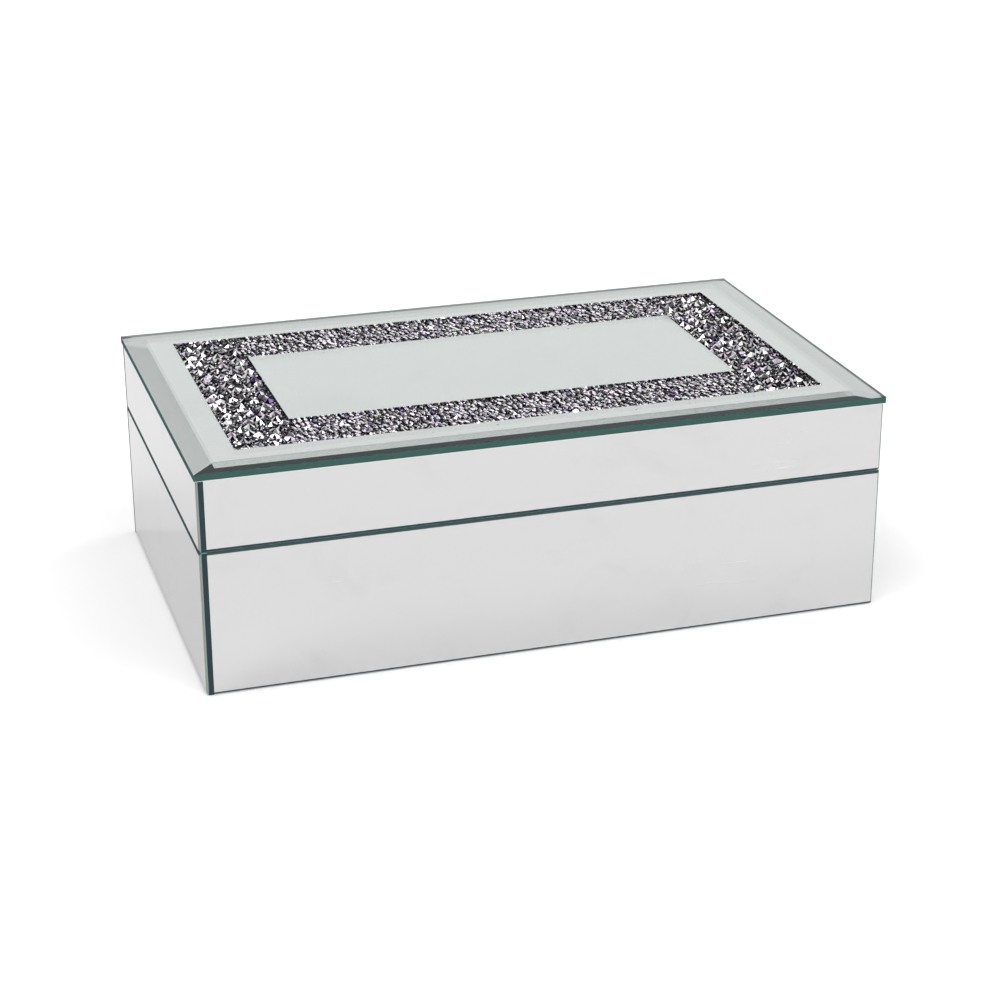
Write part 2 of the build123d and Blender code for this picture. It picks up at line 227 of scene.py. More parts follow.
def silver_coat(name, fresh, wiped):
    """A silver coat: the mirror layer under the top plate, or the bright walls of its channel."""
    shader = Shader(name)
    smears, scratches = wear(shader)
    colour = shader.mix(smears, fresh, wiped)
    rough = shader.fit(smears, 0, 1, 0.012, 0.035)
    shader.set(Base_Color=colour, Metallic=1.0, Roughness=rough)
    return shader.material


def clear_glass():
    """The polished plate itself, faintly green, with painted shade darkening its sloping bevel."""
    shader = Shader("clear_glass")
    smears, scratches = wear(shader)
    flat = shader.fit(shader.facing(2), 0.998, 0.9995, smooth=False)
    colour = shader.mix(smears, (1.0, 1.0, 1.0), (0.985, 0.99, 0.99))
    # Painted shade: the sloping bevel is darker than the level top.
    colour = shader.mix(flat, PAINTED_BEVEL_SHADE, colour)
    rough = shader.math("MULTIPLY", scratches, 0.05)
    shader.set(Base_Color=colour, Roughness=rough, IOR=1.5, Transmission_Weight=1.0)
    shader.set(Specular_Tint=GLASS_SHINE)
    tint = shader.add("ShaderNodeVolumeAbsorption", {"Color": GLASS_TINT, "Density": GLASS_DENSITY})
    shader.tree.links.new(tint.outputs[0], shader.output.inputs["Volume"])
    return shader.material


def glass_edge():
    """The plate's ground and polished edge, seen as deep green."""
    shader = Shader("glass_edge")
    drift = shader.noise(60, detail=4, roughness=0.6)
    fine = shader.noise(700, detail=2, at=shader.coordinates(scale=(1, 1, 6)))
    colour = shader.mix(drift, (0.040, 0.090, 0.077), (0.050, 0.118, 0.103))
    colour = shader.mix(shader.fit(fine, 0.55, 0.8), colour, (0.07, 0.15, 0.13))
    rough = shader.fit(fine, 0.3, 0.7, 0.3, 0.5)
    shader.set(Base_Color=colour, Roughness=rough, Specular_IOR_Level=0.0)
    shader.bump(fine, 0.02 * MM, 0.4)
    return shader.material


def stepped(shader, value, steps):
    """A colour ramp without blending. Each step is where it starts and its colour."""
    node = shader.add("ShaderNodeValToRGB", {0: value})
    ramp = node.color_ramp
    ramp.interpolation = "CONSTANT"
    while len(ramp.elements) < len(steps):
        ramp.elements.new(1.0)
    for element, (position, colour) in zip(ramp.elements, steps):
        element.position = position
        element.color = (*colour, 1)
    return node.outputs[0]


def crystal_facets(name, tones, lean, flanks_alike, spread, mirrored):
    """Foil-backed stones. A flat facet's colour holds painted glint and painted shade from the way it
    faces, and a part left to chance.

    `lean` is how far facing sideways paints a facet brighter. With `flanks_alike` both flanks
    of a stone get painted glint and its front and back painted shade, otherwise the right flank gets
    painted glint and the left one painted shade.
    `mirrored` is how much of the light a facet reflects like foil rather than scatters.
    """
    shader = Shader(name)
    normal = shader.place.outputs["Normal"]
    chance = shader.add("ShaderNodeTexWhiteNoise", {"Vector": normal}).outputs["Value"]
    sideways = shader.add(
        "ShaderNodeVectorMath", {0: normal, 1: PAINTED_GLINT_AXIS}, operation="DOT_PRODUCT"
    ).outputs["Value"]
    if flanks_alike:
        sideways = shader.math("ABSOLUTE", sideways)
    # Painted glint and painted shade: a facet's grey follows how it faces across the main view.
    value = shader.math("ADD", shader.math("MULTIPLY", sideways, lean), 0.5 - spread / 2)
    value = shader.math("ADD", value, shader.math("MULTIPLY", chance, spread))
    if flanks_alike:
        value = shader.math("SUBTRACT", value, 0.35 * lean)
    tone = stepped(shader, value, [(start, (v, v * 0.985, v)) for start, v in tones])
    stone = shader.add("ShaderNodeNewGeometry").outputs["Random Per Island"]
    tint = stepped(shader, stone, CRYSTAL_TINTS)
    colour = shader.mix(1.0, tone, tint, "MULTIPLY")
    rough = shader.fit(chance, 0, 1, 0.04, 0.12)
    shader.set(Base_Color=colour, Metallic=mirrored, Roughness=rough)
    return shader.material


def crystal_bed():
    """The dark glittery resin that the stones sit in."""
    shader = Shader("crystal_bed")
    grains = shader.add(
        "ShaderNodeTexVoronoi", {"Vector": shader.place.outputs["Object"], "Scale": 1500}
    )
    sparkle = shader.fit(grains.outputs["Distance"], 0.1, 0.5)
    colour = shader.mix(sparkle, (0.16, 0.15, 0.19), (0.035, 0.033, 0.045))
    shader.set(Base_Color=colour, Metallic=0.6, Roughness=0.35)
    shader.bump(grains.outputs["Distance"], 0.12 * MM)
    return shader.material


def velvet(name, dark, light, sheen, sheen_tint):
    """Short-pile velvet: brushed patches, fine nap and a little lint."""
    shader = Shader(name)
    patches = shader.noise(34, detail=4, roughness=0.6, distortion=0.8)
    nap = shader.noise(5200, detail=2, at=shader.coordinates(scale=(1, 0.45, 1)))
    colour = shader.mix(shader.fit(patches, 0.32, 0.68), dark, light)
    colour = shader.mix(shader.fit(nap, 0.35, 0.75, 0.0, 0.55), colour, light)
    lint = shader.add("ShaderNodeTexVoronoi", {"Vector": shader.coordinates(), "Scale": 130})
    speck = shader.fit(lint.outputs["Distance"], 0.016, 0.035, 1.0, 0.0)
    colour = shader.mix(shader.math("MULTIPLY", speck, 0.35), colour, (0.30, 0.30, 0.33))
    shader.set(
        Base_Color=colour,
        Roughness=shader.fit(nap, 0.2, 0.8, 0.82, 1.0),
        Sheen_Weight=sheen,
        Sheen_Tint=sheen_tint,
        Sheen_Roughness=0.38,
        Specular_IOR_Level=0.12,
    )
    shader.bump(nap, 0.10 * MM, 0.7)
    return shader.material


def satin():
    """Slate-grey satin ribbon with a fine cross weave."""
    shader = Shader("satin_ribbon")
    weave = shader.add(
        "ShaderNodeTexWave",
        {"Vector": shader.coordinates(rotation=(0.72, 0, 0)), "Scale": 900, "Distortion": 0.4},
        bands_direction="Y",
    ).outputs["Fac"]
    soft = shader.noise(90, detail=3)
    colour = shader.mix(soft, (0.27, 0.27, 0.32), (0.40, 0.39, 0.45))
    colour = shader.mix(shader.fit(weave, 0, 1, 0, 0.25), colour, (0.16, 0.16, 0.20))
    shader.set(
        Base_Color=colour,
        Roughness=shader.fit(weave, 0, 1, 0.32, 0.5),
        Sheen_Weight=0.3,
        Anisotropic=0.5,
    )
    shader.bump(weave, 0.04 * MM, 0.6)
    return shader.material


def nickel():
    """Plated steel with fine brushing and faint tarnish."""
    shader = Shader("stud_nickel")
    brushing = shader.noise(900, detail=3)
    tarnish = shader.fit(shader.noise(240, detail=4), 0.5, 0.75)
    colour = shader.mix(brushing, (0.60, 0.59, 0.575), (0.72, 0.71, 0.70))
    colour = shader.mix(shader.math("MULTIPLY", tarnish, 0.35), colour, (0.42, 0.39, 0.35))
    rough = shader.fit(brushing, 0.3, 0.7, 0.10, 0.24)
    shader.set(Base_Color=colour, Metallic=1.0, Roughness=rough)
    shader.bump(brushing, 0.02 * MM, 0.5)
    return shader.material


def lacquer(name):
    """Steel under satin black lacquer, with faint orange peel and rubbed patches."""
    shader = Shader(name)
    peel = shader.noise(1800, detail=2)
    rubbed = shader.fit(shader.noise(160, detail=4, roughness=0.65), 0.56, 0.72)
    colour = shader.mix(peel, (0.010, 0.010, 0.013), (0.019, 0.018, 0.023))
    colour = shader.mix(shader.math("MULTIPLY", rubbed, 0.5), colour, (0.05, 0.05, 0.055))
    shader.set(Base_Color=colour, Roughness=shader.fit(rubbed, 0, 1, 0.34, 0.5))
    shader.bump(peel, 0.02 * MM, 0.5)
    return shader.material


def fibreboard():
    """Fine brown fibreboard with fibres and cut-edge fuzz."""
    shader = Shader("fibreboard")
    fibres = shader.noise(1, detail=5, at=shader.coordinates(scale=(900, 900, 2400)))
    cloud = shader.noise(45, detail=3)
    colour = shader.mix(fibres, (0.30, 0.21, 0.135), (0.47, 0.36, 0.25))
    colour = shader.mix(shader.fit(cloud, 0.4, 0.7, 0, 0.3), colour, (0.24, 0.165, 0.105))
    shader.set(Base_Color=colour, Roughness=0.85)
    shader.bump(fibres, 0.08 * MM, 0.6)
    return shader.material


def felt():
    """Black flocked felt."""
    shader = Shader("felt")
    fuzz = shader.noise(2600, detail=4, roughness=0.7)
    cloud = shader.noise(60, detail=3)
    colour = shader.mix(fuzz, (0.008, 0.008, 0.010), (0.030, 0.030, 0.034))
    colour = shader.mix(shader.fit(cloud, 0.4, 0.7, 0, 0.4), colour, (0.02, 0.02, 0.024))
    shader.set(Base_Color=colour, Roughness=0.97, Sheen_Weight=0.35, Sheen_Roughness=0.5)
    shader.bump(fuzz, 0.15 * MM, 0.8)
    return shader.material


def foam():
    """Dark upholstery foam with open cells."""
    shader = Shader("foam")
    cells = shader.add(
        "ShaderNodeTexVoronoi", {"Vector": shader.place.outputs["Object"], "Scale": 1300}
    ).outputs["Distance"]
    colour = shader.mix(cells, (0.03, 0.03, 0.034), (0.11, 0.11, 0.12))
    shader.set(Base_Color=colour, Roughness=0.95)
    shader.bump(cells, 0.2 * MM)
    return shader.material


# ---------------------------------------------------------------- mesh helpers

def piece(name, bm, materials, body, replaced):
    """Turns a bmesh into an object that stands for a CAD node. With no body it doesn't ride yet."""
    bmesh.ops.recalc_face_normals(bm, faces=bm.faces)
    mesh = bpy.data.meshes.new(name)
    bm.to_mesh(mesh)
    bm.free()
    for material in materials:
        mesh.materials.append(material)
    made = bpy.data.objects.new(name, mesh)
    bpy.context.scene.collection.objects.link(made)
    if body:
        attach(made, body)
    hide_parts(replaced)
    return made


def shade_smooth(made):
    """Rounds the shading of every face."""
    for polygon in made.data.polygons:
        polygon.use_smooth = True


def ring_corners(half_x, half_y, z):
    """The four corners of a level rectangle, in the order of SIDES."""
    return [
        Vector((-half_x, -half_y, z)),
        Vector((half_x, -half_y, z)),
        Vector((half_x, half_y, z)),
        Vector((-half_x, half_y, z)),
    ]


def bridge(bm, lower, upper, material=0):
    """Quads between two closed loops of the same length."""
    for i in range(len(lower)):
        j = (i + 1) % len(lower)
        bm.faces.new((lower[i], lower[j], upper[j], upper[i])).material_index = material


def fill_grid(bm, grid):
    """Quads between neighbours in rows of vertices."""
    for near, far in zip(grid, grid[1:]):
        for i in range(len(near) - 1):
            bm.faces.new((near[i], near[i + 1], far[i + 1], far[i]))


def rim_of(grid):
    """The vertices round the outside of a grid, in order."""
    last_row, last_column = len(grid) - 1, len(grid[0]) - 1
    rim = [grid[0][c] for c in range(last_column)]
    rim += [grid[r][last_column] for r in range(last_row)]
    rim += [grid[last_row][c] for c in range(last_column, 0, -1)]
    rim += [grid[r][0] for r in range(last_row, 0, -1)]
    return rim


# ---------------------------------------------------------------- top glass

BEVEL_WIDTH = 9.5 * MM
BEVEL_DROP = 0.72 * MM
# Air between the silver coat, a CAD node, and the underside of the glass.
COAT_GAP = 0.03 * MM


def corner_loop(bm, half_x, half_y, z):
    """Four new vertices at the corners of a level rectangle."""
    return [bm.verts.new(corner) for corner in ring_corners(half_x, half_y, z)]


def top_frame(materials):
    """The bevelled glass frame, silvered below and in the channel.

    Materials are glass, edge, silver and channel silver.
    """
    low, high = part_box("top_glass_frame")
    band_x, band_y = band_size()
    bm = bmesh.new()
    outer_low = corner_loop(bm, high.x, high.y, low.z + COAT_GAP)
    outer_high = corner_loop(bm, high.x, high.y, high.z - BEVEL_DROP)
    table_out = corner_loop(bm, high.x - BEVEL_WIDTH, high.y - BEVEL_WIDTH, high.z)
    table_in = corner_loop(bm, band_x, band_y, high.z)
    inner_low = corner_loop(bm, band_x, band_y, low.z + COAT_GAP)
    bridge(bm, outer_low, outer_high, 1)
    bridge(bm, outer_high, table_out, 0)
    bridge(bm, table_out, table_in, 0)
    bridge(bm, table_in, inner_low, 3)
    bridge(bm, inner_low, outer_low, 2)
    piece("frame_glass", bm, materials, "lid", "top_glass_frame")


def band_size():
    """Outer half sizes of the channel that the crystals stand in."""
    low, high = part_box("crystal_strip_front")
    return high.x + STRIP_CLEARANCE, -low.y + STRIP_CLEARANCE


def top_centre(materials):
    """The flat centre panel, silvered below and in the channel. It takes the frame's materials."""
    low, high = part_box("top_glass_centre")
    bm = bmesh.new()
    under = corner_loop(bm, high.x, high.y, low.z + COAT_GAP)
    over = corner_loop(bm, high.x, high.y, high.z)
    bridge(bm, under, over, 3)
    bm.faces.new(over).material_index = 0
    bm.faces.new(under).material_index = 2
    piece("centre_glass", bm, materials, "lid", "top_glass_centre")


# ---------------------------------------------------------------- crystal band

STRIP_CLEARANCE = 0.15 * MM
# Kind of stone, darts thrown, and smallest and largest radius in mm, the largest first.
STONES = {
    "short": (("point", 700, 2.1, 2.5), ("point", 300, 1.2, 1.5), ("grit", 9000, 0.5, 0.75)),
    "long": (("point", 30, 1.6, 1.9), ("shard", 6000, 0.95, 1.15), ("grit", 12000, 0.42, 0.6)),
}
STONE_MATERIAL = {"point": 0, "shard": 1, "grit": 2, "bed": 3}
# Least distance between two stones, as a share of their radii together.
STONE_PACKING = 0.88
# Stones are looked up by square cells, wider than the largest two stones keep apart.
STONE_CELL = 5.0 * MM
# How much of its radius a stone keeps clear of the channel's walls.
STONE_MARGIN = 0.9
# How high a stone's foot stands in the bed.
STONE_FOOT = 0.1 * MM
# How far a stone's tip stands below the plate's top, in mm.
TIP_DROP = {"point": (0.0, 0.5), "shard": (0.0, 0.8), "grit": (0.4, 1.2)}
BED_DEPTH = 0.6 * MM
# Pointed stones: height over radius, the girdle's least height, the radius from which a stone
# has more sides, the steepest lean, and how uneven the girdle's angles and radii are.
STONE_STEEPNESS = (0.5, 0.7)
GIRDLE_LEAST = 0.3 * MM
LARGE_STONE = 1.7 * MM
LARGE_STONE_SIDES = 7
SMALL_STONE_SIDES = (5, 6)
POINT_LEAN = 0.2
POINT_ANGLE_SPREAD = 0.2
POINT_REACH = (0.94, 1.05)
# Shards: direction and its spread in degrees, half length and half width over radius and their
# spread, height over width, and the ridge's ends along the half length and their drop in mm.
SHARD_DIRECTION = -79.0
SHARD_SCATTER = 14.0
SHARD_LONG = 1.55
SHARD_SLIM = 0.62
SHARD_SPREAD = (0.85, 1.15)
SHARD_STEEPNESS = (0.22, 0.36)
SHARD_RIDGE = 0.55
SHARD_RIDGE_DROP = 0.3
# The girdle's corners, as shares of the half length and half width.
SHARD_PLAN = ((-1.0, 0.0), (-0.5, -1.0), (0.6, -1.0), (1.0, 0.0), (0.5, 1.0), (-0.6, 1.0))


def strip_side(x, y, inner):
    """Which side's stones a point takes. The short sides' stones fill the corners too."""
    if abs(x) > inner.x:
        return "left" if x < 0 else "right"
    return "front" if y < 0 else "back"


def scatter(side, outer, inner, rng, taken):
    """Stones of several sizes thrown at one side, each kept where it has room."""
    low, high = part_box(f"crystal_strip_{side}")
    kept = []
    sizes = STONES["long" if side in ("front", "back") else "short"]
    for kind, darts, smallest, largest in sizes:
        for _ in range(darts):
            x = rng.uniform(low.x, high.x)
            y = rng.uniform(low.y, high.y)
            radius = rng.uniform(smallest, largest) * MM
            reach = radius * STONE_MARGIN
            beyond = max(abs(x) - outer.x, abs(y) - outer.y) > -reach
            within = max(abs(x) - inner.x, abs(y) - inner.y) < reach
            if beyond or within or strip_side(x, y, inner) != side:
                continue
            column, row = int(x // STONE_CELL), int(y // STONE_CELL)
            near = [
                stone
                for i in (-1, 0, 1)
                for j in (-1, 0, 1)
                for stone in taken.get((column + i, row + j), ())
            ]
            if any(
                math.hypot(x - a, y - b) < STONE_PACKING * (radius + c) for a, b, c in near
            ):
                continue
            taken.setdefault((column, row), []).append((x, y, radius))
            kept.append((kind, x, y, radius))
    return kept


def add_point(bm, x, y, radius, floor, peak, rng, material):
    """A pointed stone: a steep faceted cone that stands on a tapered foot."""
    least, most = SMALL_STONE_SIDES
    count = LARGE_STONE_SIDES if radius > LARGE_STONE else int(rng.integers(least, most + 1))
    girdle = max(peak - radius * rng.uniform(*STONE_STEEPNESS), floor + GIRDLE_LEAST)
    turn = rng.uniform(0, 2 * math.pi)
    lean = Vector((rng.uniform(-POINT_LEAN, POINT_LEAN), rng.uniform(-POINT_LEAN, POINT_LEAN)))
    tip = bm.verts.new((x + lean.x * radius, y + lean.y * radius, peak))
    foot = bm.verts.new((x, y, floor))
    ring = []
    for i in range(count):
        shift = rng.uniform(-POINT_ANGLE_SPREAD, POINT_ANGLE_SPREAD)
        angle = turn + 2 * math.pi * (i + shift) / count
        reach = radius * rng.uniform(*POINT_REACH)
        offset = Vector((math.cos(angle), math.sin(angle))) * reach
        ring.append(bm.verts.new((x + offset.x, y + offset.y, girdle - lean.dot(offset))))
    for i in range(count):
        j = (i + 1) % count
        bm.faces.new((ring[i], ring[j], tip)).material_index = material
        bm.faces.new((ring[j], ring[i], foot)).material_index = material


def add_shard(bm, x, y, radius, floor, peak, rng, material):
    """A long stone with a ridge along it and a slanting facet at each end."""
    turn = math.radians(SHARD_DIRECTION + rng.uniform(-SHARD_SCATTER, SHARD_SCATTER))
    along = Vector((math.cos(turn), math.sin(turn), 0))
    across = Vector((-along.y, along.x, 0))
    half_length = radius * SHARD_LONG * rng.uniform(*SHARD_SPREAD)
    half_width = radius * SHARD_SLIM * rng.uniform(*SHARD_SPREAD)
    girdle = peak - half_width * 2 * rng.uniform(*SHARD_STEEPNESS)
    centre = Vector((x, y, 0))
    level = Vector((0, 0, girdle))
    ridge = []
    for share in (-SHARD_RIDGE, SHARD_RIDGE):
        end_height = Vector((0, 0, peak - rng.uniform(0, SHARD_RIDGE_DROP) * MM))
        ridge.append(bm.verts.new(centre + along * half_length * share + end_height))
    ring = [
        bm.verts.new(centre + level + along * half_length * u + across * half_width * v)
        for u, v in SHARD_PLAN
    ]
    foot = bm.verts.new((x, y, floor))
    first, last = ridge
    for corners in (
        (ring[0], ring[1], first),
        (ring[1], ring[2], last, first),
        (ring[2], ring[3], last),
        (ring[3], ring[4], last),
        (ring[4], ring[5], first, last),
        (ring[5], ring[0], first),
    ):
        bm.faces.new(corners).material_index = material
    for i in range(6):
        bm.faces.new((ring[(i + 1) % 6], ring[i], foot)).material_index = material


def crystal_strip(side, materials, rng, taken):
    """One side of the band: a resin bed with pointed stones standing in it."""
    low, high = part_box(f"crystal_strip_{side}")
    front_low, front_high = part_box("crystal_strip_front")
    outer = Vector((front_high.x, -front_low.y))
    inner = Vector((front_high.x - front_high.y + front_low.y, -front_high.y))
    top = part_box("top_glass_frame")[1].z
    start = SIDES.index(side)
    end = (start + 1) % 4
    bm = bmesh.new()
    for kind, x, y, radius in scatter(side, outer, inner, rng, taken):
        add_stone = add_shard if kind == "shard" else add_point
        peak = top - rng.uniform(*TIP_DROP[kind]) * MM
        add_stone(bm, x, y, radius, low.z + STONE_FOOT, peak, rng, STONE_MATERIAL[kind])
    levels = []
    for z in (low.z, low.z + BED_DEPTH):
        outside = ring_corners(outer.x, outer.y, z)
        inside = ring_corners(inner.x, inner.y, z)
        plan = (outside[start], outside[end], inside[end], inside[start])
        levels.append([bm.verts.new(corner) for corner in plan])
    resin = STONE_MATERIAL["bed"]
    bridge(bm, levels[0], levels[1], resin)
    bm.faces.new(levels[0]).material_index = resin
    bm.faces.new(levels[1]).material_index = resin
    piece(f"crystals_{side}", bm, materials, "lid", f"crystal_strip_{side}")


# ---------------------------------------------------------------- soft pieces

CLOTH_CELL = 4.0 * MM
CLOTH_FRAMES = 20
CLOTH_PRESSURE = 25.0
CLOTH_REACH = 1.4 * MM


def bake_shape(made):
    """Makes what the modifiers give the object's own mesh."""
    shaped = made.evaluated_get(bpy.context.evaluated_depsgraph_get())
    mesh = bpy.data.meshes.new_from_object(shaped)
    made.modifiers.clear()
    made.data = mesh


def corners_of(mesh):
    """A mesh's vertices as an array."""
    points = np.empty(len(mesh.vertices) * 3)
    mesh.vertices.foreach_get("co", points)
    return points.reshape(-1, 3)


def inflate(made, low, high):
    """Blows a soft piece up as cloth. No point moves far or leaves the box from low to high."""
    remesh = made.modifiers.new("remesh", "REMESH")
    remesh.mode = "VOXEL"
    remesh.voxel_size = CLOTH_CELL
    bake_shape(made)
    before = corners_of(made.data)
    cloth = made.modifiers.new("cloth", "CLOTH")
    cloth.settings.use_pressure = True
    cloth.settings.uniform_pressure_force = CLOTH_PRESSURE
    cloth.settings.effector_weights.gravity = 0
    cloth.point_cache.frame_start = 1
    cloth.point_cache.frame_end = CLOTH_FRAMES
    for frame_number in range(1, CLOTH_FRAMES + 1):
        bpy.context.scene.frame_set(frame_number)
    bake_shape(made)
    moved = corners_of(made.data) - before
    length = np.linalg.norm(moved, axis=1, keepdims=True)
    moved *= np.minimum(1.0, CLOTH_REACH / np.maximum(length, 1e-9))
    after = np.clip(before + moved, np.array(low), np.array(high))
    made.data.vertices.foreach_set("co", after.ravel())
    made.data.update()
    smooth = made.modifiers.new("smooth", "SUBSURF")
    smooth.levels = 1
    bake_shape(made)
    bpy.context.scene.frame_set(1)
    shade_smooth(made)


ROLL_COUNT = 7
ROLL_STEPS = 56
ROLL_PROFILE = 14
# Shares of a roll's section: its start before it swells, what its height adds and its waves.
ROLL_START = 0.945
ROLL_EXTRA_HEIGHT = 0.06
ROLL_WAVE = 0.014
ROLL_WAVES_PER_METRE = 70
ROLL_SHIFT = 9
# How much a roll's ends are drawn in, and over what length.
ROLL_TUCK = 0.16
ROLL_TUCK_LENGTH = 3.2 * MM


def ring_roll(number, fabric, rng):
    """A velvet roll with a round top and tucked-in ends, made slim and then blown up as cloth."""
    name = f"ring_roll_{number}"
    low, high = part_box(name)
    centre = (low.y + high.y) / 2
    half = (high.y - low.y) / 2
    shoulder = high.z - half
    outline = [(-half, low.z), (-half, (low.z + shoulder) / 2)]
    for i in range(ROLL_PROFILE + 1):
        angle = math.pi * i / ROLL_PROFILE
        outline.append((-half * math.cos(angle), shoulder + half * math.sin(angle)))
    outline += [(half, (low.z + shoulder) / 2), (half, low.z)]
    middle = (low.z + shoulder) / 2
    shift = Vector([rng.uniform(0, ROLL_SHIFT) for _ in range(3)])
    bm = bmesh.new()
    rings = []
    for step in range(ROLL_STEPS + 1):
        along = step / ROLL_STEPS
        end = min(along, 1 - along) * (high.x - low.x) / ROLL_TUCK_LENGTH
        tuck = 1 - ROLL_TUCK * max(0.0, 1 - end) ** 2
        x = low.x + along * (high.x - low.x)
        ring = []
        for y, z in outline:
            place = Vector((x, centre + y, z)) * ROLL_WAVES_PER_METRE + shift
            squeeze = tuck * (ROLL_START + ROLL_WAVE * noise.noise(place))
            lift = 1 if z <= low.z + 1e-6 else squeeze + ROLL_EXTRA_HEIGHT
            ring.append(
                bm.verts.new((x, centre + y * squeeze, middle + (z - middle) * lift))
            )
        rings.append(ring)
    for first, second in zip(rings, rings[1:]):
        bridge(bm, first, second)
    bm.faces.new(rings[0])
    bm.faces.new(rings[-1])
    made = piece(f"roll_{number}", bm, [fabric], "base", name)
    inflate(made, low, high)


PAD_COLUMNS = 96
PAD_ROWS = 56
PAD_ROUND = 7.0 * MM
# Shares of the pad's thickness: at its edge, what its crown adds and what its ripples add.
PAD_EDGE_SHARE = 0.32
PAD_CROWN_SHARE = 0.58
PAD_RIPPLE_SHARE = 0.08
PAD_RIPPLES_PER_METRE = 30
PAD_RIPPLE_LEVEL = 4.1


def lid_pad(fabric):
    """The thin velvet pad in the lid, crowned a little and rolled under at its edges."""
    low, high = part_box("lid_pad")
    bm = bmesh.new()
    under, over = [], []
    for row in range(PAD_ROWS + 1):
        under.append([])
        over.append([])
        for column in range(PAD_COLUMNS + 1):
            x = low.x + (high.x - low.x) * column / PAD_COLUMNS
            y = low.y + (high.y - low.y) * row / PAD_ROWS
            edge = min(x - low.x, high.x - x, y - low.y, high.y - y)
            crown = math.sqrt(1 - (1 - min(edge / PAD_ROUND, 1)) ** 2)
            spot = Vector((x * PAD_RIPPLES_PER_METRE, y * PAD_RIPPLES_PER_METRE, PAD_RIPPLE_LEVEL))
            ripple = 0.5 + 0.5 * noise.noise(spot)
            share = PAD_EDGE_SHARE + (PAD_CROWN_SHARE + PAD_RIPPLE_SHARE * ripple) * crown
            depth = (high.z - low.z) * share
            under[-1].append(bm.verts.new((x, y, high.z - depth)))
            over[-1].append(bm.verts.new((x, y, high.z)))
    fill_grid(bm, under)
    fill_grid(bm, over)
    bridge(bm, rim_of(under), rim_of(over))
    made = piece("lid_pad_velvet", bm, [fabric], "lid", "lid_pad")
    shade_smooth(made)


# ---------------------------------------------------------------- lid stay

STAY_STEPS = 90
STAY_ACROSS = 8
STAY_HALF_WIDTH = 3.9 * MM
# How far the ribbon's faces lie inside its CAD solid's.
STAY_INSET = 0.05 * MM
# Angles in radians that a point's place at rest lies between, and the halvings that find it.
STAY_ANGLES = (-0.5, 0.5)
STAY_HALVINGS = 50


def stay(fabric):
    """The ribbon, shaped so that it is straight and flat when the lid is fully open."""
    joint = frame["joints"][0]
    pivot = Vector(joint["pos_m"])
    swing = math.radians(joint["range_deg"][1])
    ends = {}
    for body in ("base", "lid"):
        low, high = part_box(f"{body}_stay_stud")
        ends[body] = (low + high) / 2
    ribbon_low, ribbon_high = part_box("stay_ribbon")

    def polar(point):
        """Distance from the hinge, and the angle up from straight forward."""
        y, z = point.y - pivot.y, point.z - pivot.z
        return math.hypot(y, z), math.atan2(z, -y)

    def weight(z):
        """The lid's share of a point's motion in the blend, by its height at rest."""
        t = min(max((z - ends["base"].z) / (ends["lid"].z - ends["base"].z), 0), 1)
        return t * t * (3 - 2 * t)

    def at_rest(radius, angle):
        """Where a point of the open ribbon lies when the lid is shut."""
        low, high = STAY_ANGLES
        for _ in range(STAY_HALVINGS):
            middle = (low + high) / 2
            z = pivot.z + radius * math.sin(middle)
            if middle + swing * weight(z) < angle:
                low = middle
            else:
                high = middle
        return pivot.y - radius * math.cos(low), pivot.z + radius * math.sin(low)

    radius, angle = polar(ends["lid"])
    lifted = angle + swing
    open_end = Vector(
        (0, pivot.y - radius * math.cos(lifted), pivot.z + radius * math.sin(lifted))
    )
    start = Vector((0, ends["base"].y, ends["base"].z))
    along = (open_end - start).normalized()
    across = Vector((0, -along.z, along.y))
    length = (open_end - start).length + 2 * STAY_HALF_WIDTH
    start = start - along * STAY_HALF_WIDTH
    bm = bmesh.new()
    sheets = []
    for x in (ribbon_low.x + STAY_INSET, ribbon_high.x - STAY_INSET):
        grid = []
        for step in range(STAY_STEPS + 1):
            row = []
            for lane in range(STAY_ACROSS + 1):
                side = (2 * lane / STAY_ACROSS - 1) * STAY_HALF_WIDTH
                point = start + along * (length * step / STAY_STEPS) + across * side
                y, z = at_rest(*polar(point))
                row.append(bm.verts.new((x, y, z)))
            grid.append(row)
        sheets.append(grid)
    for grid in sheets:
        fill_grid(bm, grid)
    bridge(bm, rim_of(sheets[0]), rim_of(sheets[1]))
    made = piece("stay_satin", bm, [fabric], None, "stay_ribbon")
    shade_smooth(made)
    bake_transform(made)


# ---------------------------------------------------------------- CAD nodes that keep their shape

def paint(node, material):
    """Gives a CAD node one material."""
    obj = nodes[node]
    for slot in obj.material_slots:
        slot.material = material


